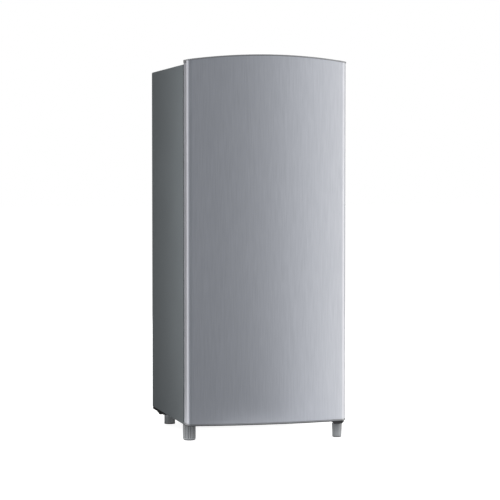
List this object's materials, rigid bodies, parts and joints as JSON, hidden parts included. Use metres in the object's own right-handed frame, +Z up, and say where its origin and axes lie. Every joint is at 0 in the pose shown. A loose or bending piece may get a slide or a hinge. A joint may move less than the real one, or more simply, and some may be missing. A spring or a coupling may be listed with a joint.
{
  "type": "single door refrigerator",
  "caption": "Tall single door refrigerator with a bowed brushed-steel door arched at the top, dark grey steel cabinet, freezer box, glass shelves, drawer, door bins and rear condenser.",
  "frame": {"origin": "on the floor, under the middle of the overall box", "axes": "+Z up, the door faces -Y, +X to the hinge side on the viewer's right"},
  "size_m": [0.5, 0.5546, 1.1667],
  "materials": {
    "cabinet_paint": "satin",
    "door_steel": "satin",
    "trim_plastic": "matte",
    "galvanised_sheet": "satin",
    "black_steel": "satin",
    "zinc_steel": "satin",
    "foam": "matte",
    "liner_plastic": "satin",
    "seal_rubber": "matte",
    "magnet": "matte",
    "clear_plastic": "gloss",
    "white_plastic": "satin",
    "shelf_glass": "gloss",
    "freezer_aluminium": "satin",
    "copper": "satin",
    "black_plastic": "matte",
    "foot_plastic": "matte",
    "bulb_glass": "gloss",
    "iron": "matte",
    "nylon": "matte",
    "soft_rubber": "matte"
  },
  "bodies": {
    "cabinet": {"back_panel": "galvanised_sheet", "base_panel": "galvanised_sheet", "cabinet_insulation": "foam", "cabinet_liner": "liner_plastic", "compressor_base_plate": "black_steel", "compressor_grommets": "soft_rubber", "compressor_lower_shell": "black_steel", "compressor_pipes": "copper", "compressor_pump": "iron", "compressor_stator": "iron", "compressor_upper_shell": "black_steel", "condenser_brackets": "black_plastic", "condenser_coil": "black_steel", "condenser_wires": "black_steel", "cord_gland": "black_plastic", "crisper_cover": "shelf_glass", "door_switch_housing": "white_plastic", "drain_tube": "black_plastic", "drier_and_capillary": "copper", "drip_tray": "black_plastic", "evaporator_box": "freezer_aluminium", "freezer_front_frame": "white_plastic", "front_crossrail": "galvanised_sheet", "hinge_pins": "zinc_steel", "lamp_bulb": "bulb_glass", "lamp_cover": "clear_plastic", "lower_hinge_bracket": "black_steel", "rear_feet": "foot_plastic", "screws_and_bolts": "zinc_steel", "shelf_glasses": "shelf_glass", "shelf_trims": "white_plastic", "side_panel_left": "cabinet_paint", "side_panel_right": "cabinet_paint", "terminal_cover": "black_plastic", "thermostat_housing": "white_plastic", "top_panel": "cabinet_paint", "upper_hinge_bracket": "zinc_steel", "upper_hinge_cover": "trim_plastic"},
    "door": {"door_skin": "door_steel", "door_top_cap": "trim_plastic", "door_bottom_cap": "trim_plastic", "door_insulation": "foam", "door_liner": "liner_plastic", "door_gasket": "seal_rubber", "gasket_magnet": "magnet", "door_hinge_bushes": "nylon", "bottle_bin": "clear_plastic", "middle_bin": "clear_plastic", "upper_bin": "clear_plastic"},
    "freezer_door": {"freezer_flap": "white_plastic"},
    "crisper": {"crisper_drawer": "clear_plastic"},
    "chiller": {"chiller_tray": "clear_plastic"},
    "door_switch": {"door_switch_plunger": "white_plastic"},
    "thermostat": {"thermostat_knob": "white_plastic"},
    "defrost": {"defrost_button": "white_plastic"},
    "left_foot": {"front_left_foot": "foot_plastic"},
    "right_foot": {"front_right_foot": "foot_plastic"},
    "left_roller": {"roller_left": "black_plastic"},
    "right_roller": {"roller_right": "black_plastic"},
    "motor": {"compressor_rotor": "iron"}
  },
  "joints": [
    {"name": "door_swing", "type": "hinge", "parent": "cabinet", "child": "door", "pos_m": [0.232, -0.22855, 0.6], "axis": [0, 0, 1], "range_deg": [0, 130]},
    {"name": "freezer_door_swing", "type": "hinge", "parent": "cabinet", "child": "freezer_door", "pos_m": [0.196, -0.14455, 1.015], "axis": [0, 0, 1], "range_deg": [0, 90]},
    {"name": "crisper_slide", "type": "slide", "parent": "cabinet", "child": "crisper", "axis": [0, -1, 0], "range_m": [0, 0.15]},
    {"name": "chiller_slide", "type": "slide", "parent": "cabinet", "child": "chiller", "axis": [0, -1, 0], "range_m": [0, 0.13]},
    {"name": "door_switch_travel", "type": "slide", "parent": "cabinet", "child": "door_switch", "axis": [0, -1, 0], "range_m": [0, 0.008]},
    {"name": "thermostat_turn", "type": "hinge", "parent": "cabinet", "child": "thermostat", "pos_m": [0.1655, -0.05055, 0.805], "axis": [-1, 0, 0], "range_deg": [0, 270]},
    {"name": "defrost_press", "type": "slide", "parent": "cabinet", "child": "defrost", "axis": [1, 0, 0], "range_m": [0, 0.004], "stiffness_N_per_m": 300},
    {"name": "left_foot_turn", "type": "hinge", "parent": "cabinet", "child": "left_foot", "pos_m": [-0.2238, -0.16535, 0.05], "axis": [0, 0, 1], "range_deg": [0, 1080]},
    {"name": "right_foot_turn", "type": "hinge", "parent": "cabinet", "child": "right_foot", "pos_m": [0.2314, -0.21435, 0.05], "axis": [0, 0, 1], "range_deg": [0, 1080]},
    {"name": "left_roller_spin", "type": "hinge", "parent": "cabinet", "child": "left_roller", "pos_m": [-0.225, 0.23545, 0.042], "axis": [1, 0, 0], "continuous": true},
    {"name": "right_roller_spin", "type": "hinge", "parent": "cabinet", "child": "right_roller", "pos_m": [0.225, 0.23545, 0.042], "axis": [1, 0, 0], "continuous": true},
    {"name": "motor_spin", "type": "hinge", "parent": "cabinet", "child": "motor", "pos_m": [0.07, 0.16645, 0.12], "axis": [0, 0, 1], "continuous": true}
  ],
  "couplings": [
    {"joint": "freezer_door_swing", "follows": "door_swing", "ratio": 0.66},
    {"joint": "crisper_slide", "follows": "door_swing", "m_per_rad": 0.066},
    {"joint": "chiller_slide", "follows": "door_swing", "m_per_rad": 0.055},
    {"joint": "door_switch_travel", "follows": "door_swing", "m_per_rad": 0.0035}
  ]
}
